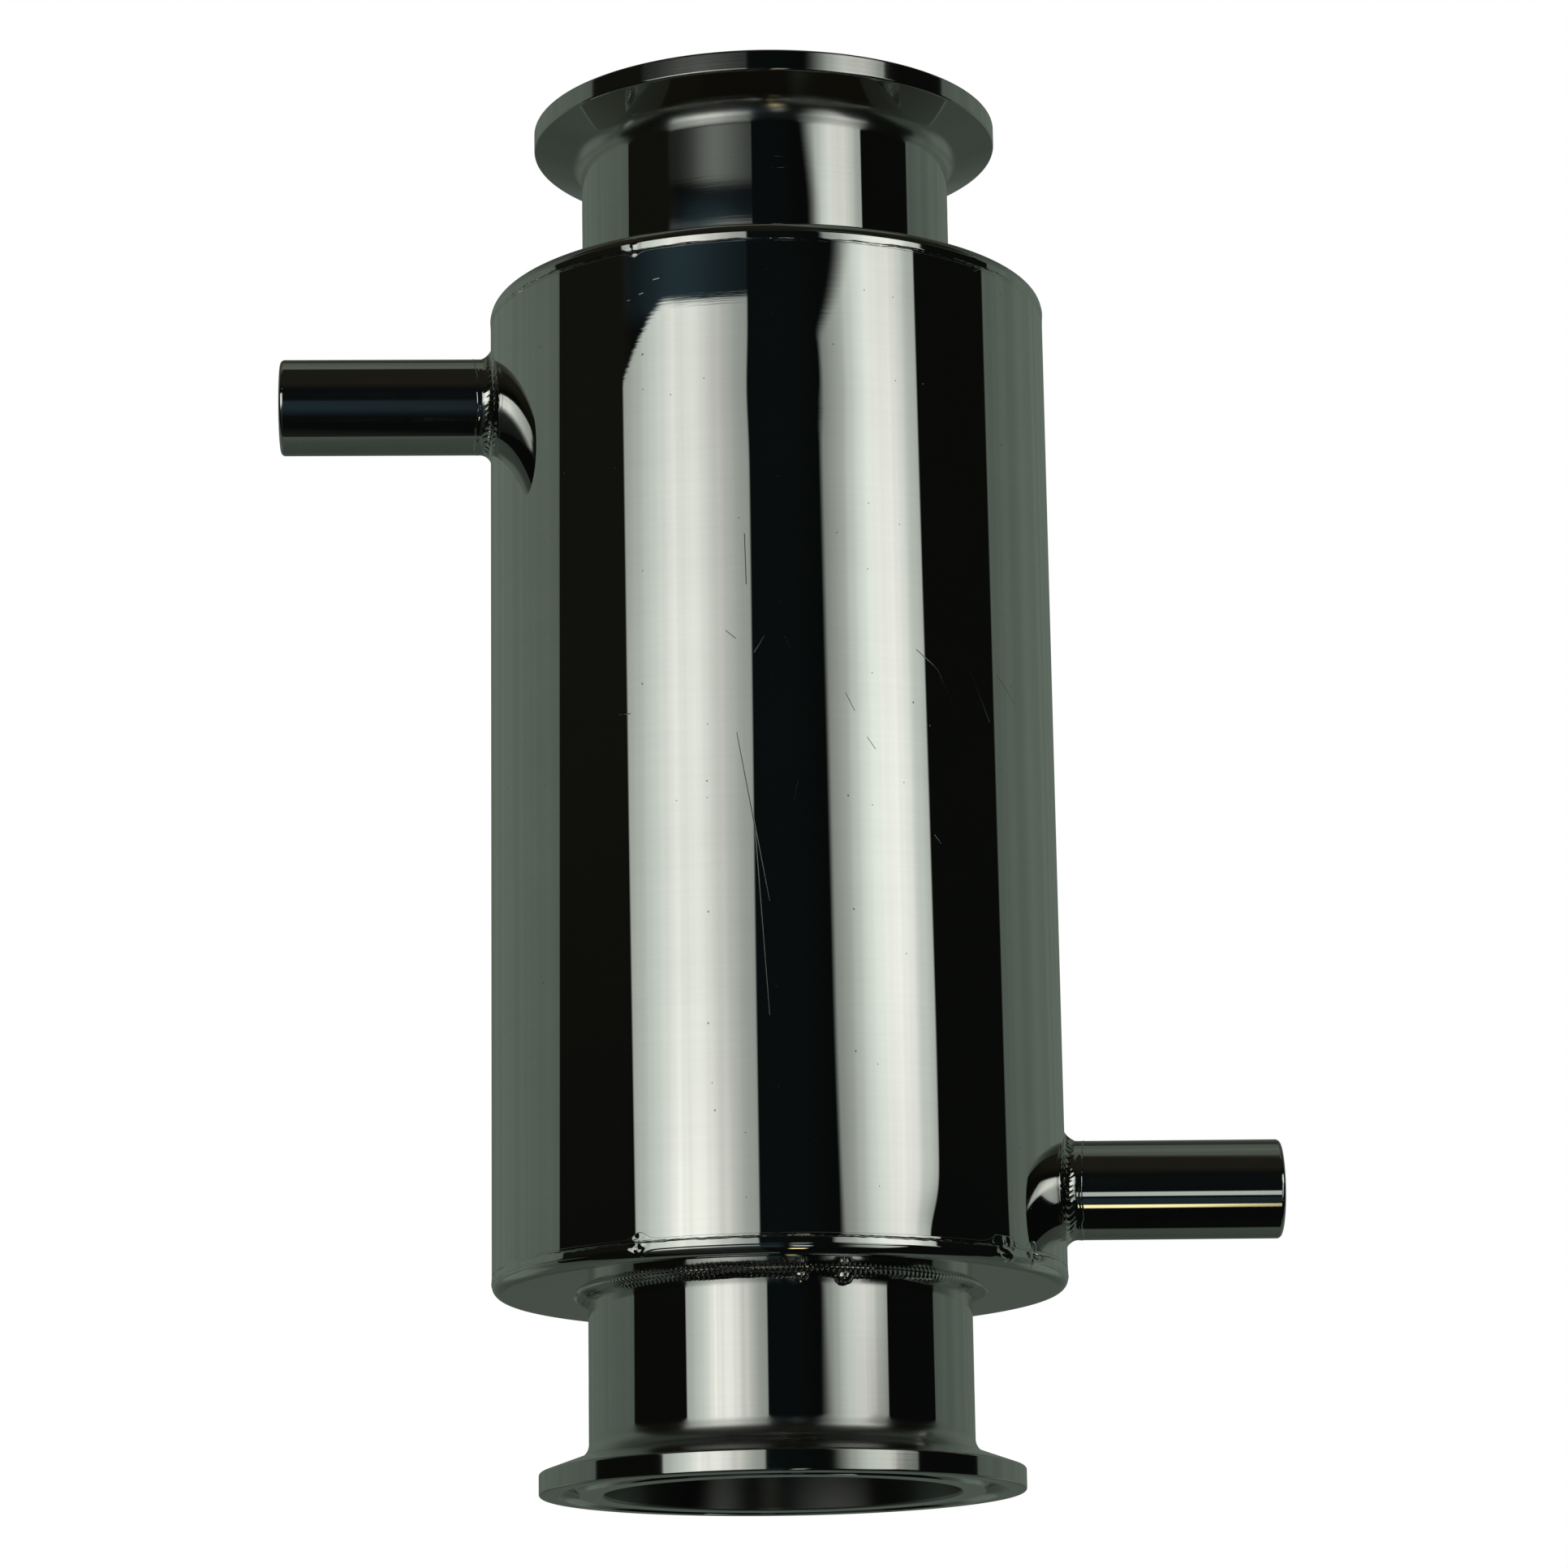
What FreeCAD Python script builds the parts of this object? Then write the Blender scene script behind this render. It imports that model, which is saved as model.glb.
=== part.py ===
"""Jacketed tri-clamp spool: a product tube between two ferrules, inside a welded jacket with two tube stubs.

FreeCAD 1.1 macro, millimetres. The origin is the centre of the lower ferrule's face. +Z runs up the bore.
The stubs lie along X: the upper one points to -X and the lower one to +X.

Each piece is built in a frame of its own and then placed. The pieces that come in pairs are the same
at both ends, so the upper one is the lower one turned over.
"""

import FreeCAD, Part
import Sketcher
import os

DIMENSIONS = [
    # alias, value in mm, what it is
    ("overall_length", 189.0, "face to face, over both ferrules"),
    ("tube_diameter", 50.8, "product tube, outside"),
    ("tube_wall", 2.0, "product tube wall"),
    ("rim_diameter", 64.0, "ferrule rim"),
    ("rim_land", 2.85, "straight edge of the ferrule rim"),
    ("cone_rise", 2.40, "height of the 20 degree back cone, from the rim to the tube's outside"),
    ("rim_round", 0.3, "rounded corners of the rim"),
    ("neck_fillet", 2.2, "fillet between the back cone and the neck"),
    ("mouth_round", 0.4, "rounded edge of the bore"),
    ("ferrule_length", 12.7, "face to weld end"),
    ("groove_diameter", 56.3, "gasket groove, at its centre line"),
    ("groove_width", 2.9, "gasket groove, across its mouth"),
    ("groove_depth", 1.2, "gasket groove"),
    ("butt_weld_width", 1.6, "weld metal between ferrule and tube"),
    ("jacket_diameter", 76.2, "jacket shell, outside"),
    ("jacket_wall", 1.65, "jacket shell wall"),
    ("neck_length", 26.3, "ferrule face to end ring"),
    ("ring_thickness", 2.0, "end ring"),
    ("ring_round", 1.4, "rounded outer edge of the end ring"),
    ("seam_bevel", 0.5, "bevels of the shell and the end ring where they meet"),
    ("seam_crown", 0.12, "how far the seam weld stands proud"),
    ("neck_bead_leg", 1.7, "fillet weld between end ring and tube"),
    ("neck_bead_radius", 2.4, "radius of that weld's rounded face"),
    ("stub_diameter", 13.2, "tube stub, outside"),
    ("stub_wall", 1.6, "tube stub wall"),
    ("stub_reach", 66.9, "jacket axis to the stub's free end"),
    ("stub_root", 35.2, "jacket axis to the stub's inner end"),
    ("spigot_diameter", 12.4, "the stub's root, turned down to enter the shell"),
    ("stub_end_round", 0.6, "rounded free end of the stub"),
    ("stub_inset", 39.8, "ferrule face to the nearer stub's axis"),
    ("stub_bead_leg", 1.7, "fillet weld round the stub, along the stub"),
    ("stub_bead_radius", 2.2, "radius of that weld's hollow face"),
    ("stub_bead_skirt", 1.6, "how far that weld's blank dips into the shell before it is trimmed"),
]

HALF_TURN_ABOUT_X = FreeCAD.Rotation(FreeCAD.Vector(1, 0, 0), 180)
HALF_TURN_ABOUT_Z = FreeCAD.Rotation(FreeCAD.Vector(0, 0, 1), 180)
NO_TURN = FreeCAD.Rotation()
FULL_TURN = 360
H_LINE, V_LINE = -1, -2
START, END, CENTRE = 1, 2, 3
SKETCH_ORIGIN = (H_LINE, START)
ALONG_X, ALONG_Z = 0, 2
SAME = 1e-4

doc = FreeCAD.newDocument("JacketedSpool")
sheet = doc.addObject("Spreadsheet::Sheet", "Sizes")
sub_parts = []


def fill_sheet():
    """Writes the driving dimensions into the spreadsheet, one row each."""
    for row, (alias, value, meaning) in enumerate(DIMENSIONS, start=1):
        sheet.set(f"A{row}", meaning)
        sheet.set(f"B{row}", str(value))
        sheet.setAlias(f"B{row}", alias)
    doc.recompute()


def bound(expression):
    """The expression with every alias written as a cell of the sheet."""
    for alias, _, _ in sorted(DIMENSIONS, key=lambda row: -len(row[0])):
        expression = expression.replace(f"<{alias}>", f"Sizes.{alias}")
    return expression


def value_of(expression):
    """The expression's present value in millimetres."""
    return float(sheet.evalExpression(bound(expression)))


def new_body(label, turn=NO_TURN, height="0"):
    """An empty sub-part, turned and then raised to a height bound to the sheet."""
    body = doc.addObject("PartDesign::Body", label)
    body.Label = label
    body.Placement = FreeCAD.Placement(FreeCAD.Vector(), turn)
    body.setExpression("Placement.Base.z", bound(height))
    sub_parts.append(body)
    return body


def new_sketch(body, plane, name, offset="0"):
    """A sketch on one of the body's own origin planes, moved along that plane's normal."""
    support = next(f for f in body.Origin.OriginFeatures if f.Role == plane)
    sketch = body.newObject("Sketcher::SketchObject", name)
    sketch.AttachmentSupport = (support, [""])
    sketch.MapMode = "FlatFace"
    sketch.setExpression("AttachmentOffset.Base.z", bound(offset))
    return sketch


def bind(sketch, constraint, name, expression):
    """Adds a dimension to the sketch and ties it to the sheet."""
    index = sketch.addConstraint(constraint)
    sketch.renameConstraint(index, name)
    sketch.setExpression(f"Constraints.{name}", bound(expression))


def pin_point(sketch, geometry, end, across, up, name):
    """Places one end of a line or arc at (across, up), both expressions."""
    for expression, kind, axis, tag in (
        (across, "DistanceX", V_LINE, "x"),
        (up, "DistanceY", H_LINE, "y"),
    ):
        size = value_of(expression)
        if abs(size) < SAME:
            sketch.addConstraint(Sketcher.Constraint("PointOnObject", geometry, end, axis))
        else:
            distance = Sketcher.Constraint(kind, *SKETCH_ORIGIN, geometry, end, size)
            bind(sketch, distance, f"{name}_{tag}", expression)


def outline(sketch, corners, arcs=None):
    """A closed outline through the corners, anticlockwise.

    arcs gives {corner number: radius expression} for the stretches that are arcs and not straight.
    A positive radius bulges out of the outline and a negative one hollows it.
    """
    arcs = arcs or {}
    points = [FreeCAD.Vector(value_of(x), value_of(y), 0) for x, y in corners]
    count = len(points)
    for i, start in enumerate(points):
        stop = points[(i + 1) % count]
        if i in arcs:
            radius = value_of(arcs[i])
            chord = stop - start
            sag = abs(radius) - (radius**2 - (chord.Length / 2) ** 2) ** 0.5
            outward = FreeCAD.Vector(chord.y, -chord.x, 0).normalize()
            middle = (start + stop) / 2 + outward * (sag if radius > 0 else -sag)
            sketch.addGeometry(Part.Arc(start, middle, stop), False)
        else:
            sketch.addGeometry(Part.LineSegment(start, stop), False)
    first = [END if i in arcs and value_of(arcs[i]) < 0 else START for i in range(count)]
    last = [START if end == END else END for end in first]
    for i in range(count):
        j = (i + 1) % count
        sketch.addConstraint(Sketcher.Constraint("Coincident", i, last[i], j, first[j]))
    for i, (across, up) in enumerate(corners):
        pin_point(sketch, i, first[i], across, up, f"corner{i}")
    for i, expression in arcs.items():
        size = abs(value_of(expression))
        bind(sketch, Sketcher.Constraint("Radius", i, size), f"arc{i}", f"abs({expression})")


def circles(sketch, radii, up="0"):
    """Circles about one centre, which lies on the sketch's vertical axis."""
    height = value_of(up)
    for i, expression in enumerate(radii):
        radius = value_of(expression)
        centre = FreeCAD.Vector(0, height, 0)
        sketch.addGeometry(Part.Circle(centre, FreeCAD.Vector(0, 0, 1), radius), False)
        pin_point(sketch, i, CENTRE, "0", up, f"centre{i}")
        bind(sketch, Sketcher.Constraint("Radius", i, radius), f"radius{i}", expression)


def pad(body, sketch, length):
    """Extrudes the sketch along its normal."""
    feature = body.newObject("PartDesign::Pad", "Pad")
    feature.Profile = sketch
    feature.setExpression("Length", bound(length))
    sketch.Visibility = False
    doc.recompute()
    return feature


def revolve(body, sketch, axis, kind="PartDesign::Revolution"):
    """Turns the sketch once round one of its own axes, as new metal or as a groove."""
    feature = body.newObject(kind, kind.split("::")[1])
    feature.Profile = sketch
    feature.ReferenceAxis = (sketch, [axis])
    feature.Angle = FULL_TURN
    sketch.Visibility = False
    doc.recompute()
    return feature


def rim_edges(feature, radius, along, position):
    """Names of the round edges of that radius whose centre lies at position along that axis."""
    names = []
    for number, edge in enumerate(feature.Shape.Edges, start=1):
        curve = edge.Curve
        if not isinstance(curve, Part.Circle):
            continue
        if abs(curve.Radius - radius) < SAME and abs(curve.Center[along] - position) < SAME:
            names.append(f"Edge{number}")
    if not names:
        raise ValueError(f"{feature.Name} has no round edge of radius {radius} at {position}")
    return names


def dress(body, feature, kind, size, edges):
    """Rounds ("Fillet") or bevels ("Chamfer") edges, given as (radius, position) expressions.

    A third item gives the axis that the position is measured along. It's Z if it's left out.
    """
    names = []
    for radius, position, *axis in edges:
        along = axis[0] if axis else ALONG_Z
        names += rim_edges(feature, value_of(radius), along, value_of(position))
    dressed = body.newObject(f"PartDesign::{kind}", kind)
    dressed.Base = (feature, names)
    dressed.setExpression("Radius" if kind == "Fillet" else "Size", bound(size))
    doc.recompute()
    return dressed


def must_shrink(before, after, what):
    """Stops the build if a cut took nothing away."""
    if after.Shape.Volume > before.Shape.Volume - SAME:
        raise ValueError(f"{what} cut nothing")


TUBE_OUTSIDE = "<tube_diameter> / 2"
TUBE_INSIDE = "<tube_diameter> / 2 - <tube_wall>"
RIM = "<rim_diameter> / 2"
JACKET_OUTSIDE = "<jacket_diameter> / 2"
JACKET_INSIDE = "<jacket_diameter> / 2 - <jacket_wall>"
STUB_OUTSIDE = "<stub_diameter> / 2"
STUB_INSIDE = "<stub_diameter> / 2 - <stub_wall>"
SPIGOT = "<spigot_diameter> / 2"
STUB_SHOULDER = f"{JACKET_OUTSIDE} + <stub_bead_leg>"
TUBE_END = "<ferrule_length> + <butt_weld_width>"
JACKET_END = "<neck_length> + <ring_thickness>"
ENDS = {
    "bottom": (NO_TURN, "{}"),
    "top": (HALF_TURN_ABOUT_X, "<overall_length> - ({})"),
}
STUBS = {
    "lower": (NO_TURN, "<stub_inset>"),
    "upper": (HALF_TURN_ABOUT_Z, "<overall_length> - <stub_inset>"),
}


def at_end(name, end, height):
    """A body of one of the two ends. Its own frame has z = 0 at that height above the ferrule's face."""
    turn, rule = ENDS[end]
    return new_body(f"{name}_{end}", turn, rule.format(height))


def make_inner_tube():
    """The product tube, between the two butt welds."""
    body = new_body("inner_tube")
    sketch = new_sketch(body, "XY_Plane", "TubeSection", TUBE_END)
    circles(sketch, [TUBE_OUTSIDE, TUBE_INSIDE])
    pad(body, sketch, f"<overall_length> - 2 * ({TUBE_END})")


def make_ferrule(end):
    """A weld ferrule: a flat face with a gasket groove, a rim with a 20 degree back cone, and a short neck."""
    body = at_end("ferrule", end, "0")
    section = new_sketch(body, "XZ_Plane", "FerruleSection")
    outline(
        section,
        [
            (TUBE_INSIDE, "0"),
            (RIM, "0"),
            (RIM, "<rim_land>"),
            (TUBE_OUTSIDE, "<rim_land> + <cone_rise>"),
            (TUBE_OUTSIDE, "<ferrule_length>"),
            (TUBE_INSIDE, "<ferrule_length>"),
        ],
    )
    blank = revolve(body, section, "V_Axis")
    groove_section = new_sketch(body, "XZ_Plane", "GrooveSection")
    outline(
        groove_section,
        [
            ("<groove_diameter> / 2 + <groove_width> / 2", "0"),
            ("<groove_diameter> / 2 - <groove_width> / 2", "0"),
        ],
        {1: "-(<groove_width> ^ 2 / 4 + <groove_depth> ^ 2) / (2 * <groove_depth>)"},
    )
    grooved = revolve(body, groove_section, "V_Axis", "PartDesign::Groove")
    must_shrink(blank, grooved, "the gasket groove")
    rims = [(RIM, "0"), (RIM, "<rim_land>")]
    rimmed = dress(body, grooved, "Fillet", "<rim_round>", rims)
    mouthed = dress(body, rimmed, "Fillet", "<mouth_round>", [(TUBE_INSIDE, "0")])
    root = [(TUBE_OUTSIDE, "<rim_land> + <cone_rise>")]
    dress(body, mouthed, "Fillet", "<neck_fillet>", root)


def make_butt_weld(end):
    """The weld metal between a ferrule and the tube, ground flush inside and out."""
    body = at_end("weld_ferrule", end, "<ferrule_length>")
    sketch = new_sketch(body, "XY_Plane", "WeldSection")
    circles(sketch, [TUBE_OUTSIDE, TUBE_INSIDE])
    pad(body, sketch, "<butt_weld_width>")


def make_end_ring(end):
    """The flat ring that closes the jacket, rounded outside and bevelled where the shell meets it."""
    body = at_end("end_ring", end, "<neck_length>")
    sketch = new_sketch(body, "XY_Plane", "RingSection")
    circles(sketch, [JACKET_OUTSIDE, TUBE_OUTSIDE])
    blank = pad(body, sketch, "<ring_thickness>")
    rounded = dress(body, blank, "Fillet", "<ring_round>", [(JACKET_OUTSIDE, "0")])
    inner_edge = [(JACKET_OUTSIDE, "<ring_thickness>")]
    dress(body, rounded, "Chamfer", "<seam_bevel>", inner_edge)


def make_seam_weld(end):
    """The weld that fills the bevels between the shell and an end ring, slightly crowned."""
    body = at_end("weld_seam", end, JACKET_END)
    sketch = new_sketch(body, "XZ_Plane", "SeamSection")
    outline(
        sketch,
        [
            (f"{JACKET_OUTSIDE} - <seam_bevel>", "0"),
            (JACKET_OUTSIDE, "-<seam_bevel>"),
            (JACKET_OUTSIDE, "<seam_bevel>"),
        ],
        {1: "(<seam_bevel> ^ 2 + <seam_crown> ^ 2) / (2 * <seam_crown>)"},
    )
    revolve(body, sketch, "V_Axis")


def make_neck_weld(end):
    """The fillet weld in the corner between an end ring's outer face and the tube."""
    body = at_end("weld_neck", end, "<neck_length>")
    sketch = new_sketch(body, "XZ_Plane", "NeckBeadSection")
    outline(
        sketch,
        [
            (TUBE_OUTSIDE, "0"),
            (TUBE_OUTSIDE, "-<neck_bead_leg>"),
            (f"{TUBE_OUTSIDE} + <neck_bead_leg>", "0"),
        ],
        {1: "<neck_bead_radius>"},
    )
    revolve(body, sketch, "V_Axis")


def make_jacket_shell():
    """The jacket's tube, bevelled at both ends and drilled once for each stub."""
    body = new_body("jacket_shell")
    sketch = new_sketch(body, "XY_Plane", "ShellSection", JACKET_END)
    circles(sketch, [JACKET_OUTSIDE, JACKET_INSIDE])
    blank = pad(body, sketch, f"<overall_length> - 2 * ({JACKET_END})")
    ends = [(JACKET_OUTSIDE, JACKET_END), (JACKET_OUTSIDE, f"<overall_length> - ({JACKET_END})")]
    shell = dress(body, blank, "Chamfer", "<seam_bevel>", ends)
    for stub, (_, height) in STUBS.items():
        port = new_sketch(body, "YZ_Plane", f"Port_{stub}")
        circles(port, [SPIGOT], height)
        pocket = body.newObject("PartDesign::Pocket", f"PortHole_{stub}")
        pocket.Profile = port
        pocket.Reversed = stub == "lower"
        pocket.setExpression("Length", bound("<jacket_diameter>"))
        port.Visibility = False
        doc.recompute()
        must_shrink(shell, pocket, f"the {stub} port")
        shell = pocket


def make_stub(stub):
    """A plain tube stub with its free end rounded. Its root passes through the shell, under the weld."""
    turn, height = STUBS[stub]
    body = new_body(f"stub_{stub}", turn, height)
    sketch = new_sketch(body, "XZ_Plane", "StubSection")
    outline(
        sketch,
        [
            ("<stub_root>", STUB_INSIDE),
            ("<stub_reach>", STUB_INSIDE),
            ("<stub_reach>", STUB_OUTSIDE),
            (STUB_SHOULDER, STUB_OUTSIDE),
            (STUB_SHOULDER, SPIGOT),
            ("<stub_root>", SPIGOT),
        ],
    )
    blank = revolve(body, sketch, "H_Axis")
    free_end = [(STUB_OUTSIDE, "<stub_reach>", ALONG_X), (STUB_INSIDE, "<stub_reach>", ALONG_X)]
    dress(body, blank, "Fillet", "<stub_end_round>", free_end)


def make_stub_weld(stub):
    """The hollow-faced fillet weld round a stub. Its foot is trimmed to the shell's outside."""
    turn, height = STUBS[stub]
    body = new_body(f"weld_stub_{stub}", turn, height)
    sketch = new_sketch(body, "XZ_Plane", "StubBeadSection")
    foot = f"{JACKET_OUTSIDE} - <stub_bead_skirt>"
    outline(
        sketch,
        [
            (foot, SPIGOT),
            (STUB_SHOULDER, SPIGOT),
            (STUB_SHOULDER, STUB_OUTSIDE),
            (JACKET_OUTSIDE, f"{STUB_OUTSIDE} + <stub_bead_leg>"),
            (foot, f"{STUB_OUTSIDE} + <stub_bead_leg> + <stub_bead_skirt>"),
        ],
        {2: "-<stub_bead_radius>"},
    )
    collar = revolve(body, sketch, "H_Axis")
    shell = body.newObject("PartDesign::SubtractiveCylinder", "ShellOutside")
    shell.setExpression("Radius", bound(JACKET_OUTSIDE))
    shell.setExpression("Height", bound("<overall_length>"))
    shell.setExpression("Placement.Base.z", bound("-<overall_length> / 2"))
    doc.recompute()
    must_shrink(collar, shell, f"the foot of the {stub} stub's weld")


def check_document():
    """Stops the build if any object failed or any sub-part isn't one valid solid."""
    doc.recompute()
    for thing in doc.Objects:
        if "Invalid" in thing.State or "Error" in thing.State:
            raise ValueError(f"{thing.Name} failed: {thing.State}")
    for body in sub_parts:
        shape = body.Shape
        if shape.isNull() or not shape.isValid() or len(shape.Solids) != 1:
            raise ValueError(f"{body.Label} isn't one valid solid")


def export_parts():
    """Writes each sub-part to a STEP file of its own name."""
    os.makedirs("parts", exist_ok=True)
    for body in sub_parts:
        body.Shape.exportStep(f"parts/{body.Label}.step")
        print(f"{body.Label}: {body.Shape.Volume:.0f} mm3")


fill_sheet()
make_inner_tube()
make_jacket_shell()
for name in ENDS:
    make_ferrule(name)
    make_butt_weld(name)
    make_end_ring(name)
    make_seam_weld(name)
    make_neck_weld(name)
for name in STUBS:
    make_stub(name)
    make_stub_weld(name)
check_document()
export_parts()
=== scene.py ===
"""Looks of the jacketed tri-clamp spool: polished metal, weld beads, studio, floor and camera.

Metres, in the row frame: the product bore runs up +Z from the lower ferrule's face and the stubs lie along X.
Azimuths are counted from the camera's side of the object, positive to the picture's right, and elevations up
from the horizon. Both are in degrees.
"""

import bmesh
import bpy
import math

from mathutils import Matrix, Vector, noise


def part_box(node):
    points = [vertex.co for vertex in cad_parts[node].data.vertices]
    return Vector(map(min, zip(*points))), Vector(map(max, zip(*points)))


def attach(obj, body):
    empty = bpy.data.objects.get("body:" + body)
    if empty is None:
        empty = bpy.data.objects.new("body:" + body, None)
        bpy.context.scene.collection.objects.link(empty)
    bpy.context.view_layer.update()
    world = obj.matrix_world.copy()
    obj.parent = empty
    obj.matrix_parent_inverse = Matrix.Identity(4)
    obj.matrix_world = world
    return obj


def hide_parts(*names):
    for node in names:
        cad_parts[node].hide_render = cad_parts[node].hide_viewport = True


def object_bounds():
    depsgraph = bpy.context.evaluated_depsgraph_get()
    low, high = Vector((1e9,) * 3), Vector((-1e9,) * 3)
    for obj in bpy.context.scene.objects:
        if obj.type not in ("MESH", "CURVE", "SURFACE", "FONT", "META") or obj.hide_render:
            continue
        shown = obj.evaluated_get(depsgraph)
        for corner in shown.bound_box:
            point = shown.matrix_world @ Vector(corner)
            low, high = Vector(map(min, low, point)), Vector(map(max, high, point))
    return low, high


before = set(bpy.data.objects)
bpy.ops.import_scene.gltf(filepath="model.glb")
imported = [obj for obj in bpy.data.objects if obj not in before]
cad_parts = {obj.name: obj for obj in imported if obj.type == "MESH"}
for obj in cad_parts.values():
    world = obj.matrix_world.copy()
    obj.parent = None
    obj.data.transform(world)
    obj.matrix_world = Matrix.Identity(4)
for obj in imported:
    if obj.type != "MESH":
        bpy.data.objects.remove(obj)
cad_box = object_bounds()
scene = bpy.context.scene

# ---------------------------------------------------------------- sizes
MM = 0.001
ENDS = ("bottom", "top")
STUBS = ("lower", "upper")
TUBE_WALL = 2.0 * MM
# read from the frame
TUBE_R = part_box("inner_tube")[1].x
BORE_R = TUBE_R - TUBE_WALL
JACKET_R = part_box("jacket_shell")[1].x
STUB_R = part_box("stub_lower")[1].y
LENGTH = cad_box[1].z
RING_FACE = {"bottom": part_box("end_ring_bottom")[0].z, "top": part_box("end_ring_top")[1].z}
SEAM_Z = {end: sum(c.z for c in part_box(f"weld_seam_{end}")) / 2 for end in ENDS}
STUB_Z = {stub: sum(c.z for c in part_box(f"stub_{stub}")) / 2 for stub in STUBS}

# ---------------------------------------------------------------- camera
VIEW_TURN = 2.0                  # degrees from the stubs' square-on side
CAMERA_DISTANCE = 0.66326
CAMERA_HEIGHT = -0.0611
CAMERA_HEADING = VIEW_TURN + 0.13
CAMERA_PITCH = 13.3
CAMERA_ROLL = -0.85
CAMERA_LENS = 115.52             # focal length and sensor in millimetres
SENSOR_WIDTH = 36.0
CLIP_START = 0.01
TOWARD_CAMERA = Vector((-math.sin(math.radians(VIEW_TURN)), -math.cos(math.radians(VIEW_TURN)), 0.0))
TOWARD_RIGHT = Vector((math.cos(math.radians(VIEW_TURN)), -math.sin(math.radians(VIEW_TURN)), 0.0))


def add_camera():
    """A long lens in front of the object and below it, looking up."""
    heading, pitch, roll = (math.radians(a) for a in (CAMERA_HEADING, CAMERA_PITCH, CAMERA_ROLL))
    ahead = Vector((math.sin(heading), math.cos(heading), 0.0))
    forward = ahead * math.cos(pitch) + Vector((0.0, 0.0, math.sin(pitch)))
    level = Vector((math.cos(heading), -math.sin(heading), 0.0))
    upright = level.cross(forward)
    right = math.cos(roll) * level + math.sin(roll) * upright
    up = math.cos(roll) * upright - math.sin(roll) * level
    camera = bpy.data.objects.new("camera", bpy.data.cameras.new("camera"))
    camera.data.lens = CAMERA_LENS
    camera.data.sensor_width = SENSOR_WIDTH
    camera.data.clip_start = CLIP_START
    turn = Matrix((right, up, -forward)).transposed().to_4x4()
    place = TOWARD_CAMERA * CAMERA_DISTANCE + Vector((0.0, 0.0, CAMERA_HEIGHT))
    camera.matrix_world = Matrix.Translation(place) @ turn
    scene.collection.objects.link(camera)
    scene.camera = camera


# ---------------------------------------------------------------- node trees
class Tree:
    """Adds nodes to a shader tree. An input is a number, a vector, a colour or another node's output."""

    def __init__(self, owner):
        owner.use_nodes = True
        owner.node_tree.nodes.clear()
        self.tree = owner.node_tree

    def feed(self, socket, value):
        if isinstance(value, bpy.types.NodeSocket):
            self.tree.links.new(value, socket)
        else:
            socket.default_value = value

    def node(self, kind, inputs=None, **settings):
        made = self.tree.nodes.new(f"ShaderNode{kind}")
        for name, value in settings.items():
            setattr(made, name, value)
        for key, value in (inputs or {}).items():
            self.feed(made.inputs[key], value)
        return made

    def math(self, operation, *values, clamp=False):
        made = self.node("Math", operation=operation, use_clamp=clamp)
        for socket, value in zip(made.inputs, values):
            self.feed(socket, value)
        return made.outputs[0]

    def vector(self, operation, *values):
        made = self.node("VectorMath", operation=operation)
        for socket, value in zip(made.inputs, values):
            self.feed(socket, value)
        return made.outputs["Value" if operation in ("DOT_PRODUCT", "LENGTH", "DISTANCE") else "Vector"]

    def scaled(self, vector, factor):
        """A vector or a colour times a varying number."""
        return self.node("VectorMath", {0: vector, "Scale": factor}, operation="SCALE").outputs[0]

    def height_of(self, place):
        return self.node("SeparateXYZ", {0: place}).outputs["Z"]

    def noise_texture(self, scale, detail=2.0, roughness=0.5, **place):
        """Noise at a place, which is given as Vector, or as W for noise along one number."""
        inputs = {**place, "Scale": scale, "Detail": detail, "Roughness": roughness}
        dimensions = "1D" if "W" in place else "3D"
        return self.node("TexNoise", inputs, noise_dimensions=dimensions).outputs["Fac"]

    def step(self, value, start, stop, low=0.0, high=1.0):
        """low before start, high after stop and smooth between them."""
        inputs = {"Value": value, "From Min": start, "From Max": stop, "To Min": low, "To Max": high}
        return self.node("MapRange", inputs, interpolation_type="SMOOTHSTEP").outputs["Result"]

    def window(self, value, low, high, soft_low, soft_high):
        """1 between low and high, falling to 0 over the two soft widths, which are centred on the edges."""
        rise = self.step(value, low - soft_low / 2, low + soft_low / 2)
        fall = self.step(value, high - soft_high / 2, high + soft_high / 2, 1.0, 0.0)
        return self.math("MULTIPLY", rise, fall)

    def profile(self, value, stops):
        """Brightness along a smooth curve that eases past (value, brightness) stops."""
        first, last = stops[0][0], stops[-1][0]
        place = {"Value": value, "From Min": first, "From Max": last}
        ramp = self.node("ValToRGB", {"Fac": self.node("MapRange", place).outputs["Result"]})
        ramp.color_ramp.interpolation = "B_SPLINE"
        elements = ramp.color_ramp.elements
        while len(elements) < len(stops):
            elements.new(0.5)
        for element, (at, level) in zip(elements, stops):
            element.position = (at - first) / (last - first)
            element.color = (level, level, level, 1.0)
        return ramp.outputs["Color"]

    def product(self, *values):
        made = values[0]
        for value in values[1:]:
            made = self.math("MULTIPLY", made, value)
        return made

    def total(self, *values):
        made = values[0]
        for value in values[1:]:
            made = self.math("ADD", made, value)
        return made

    def rest_of(self, share):
        """What a share leaves of 1."""
        return self.math("SUBTRACT", 1.0, share)

    def at_least(self, value, share, amount):
        """The value, raised to a varying share of an amount where it's below that."""
        return self.math("MAXIMUM", value, self.math("MULTIPLY", share, amount))

    def add_colours(self, *colours):
        made = colours[0]
        for colour in colours[1:]:
            made = self.vector("ADD", made, colour)
        return made


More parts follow.
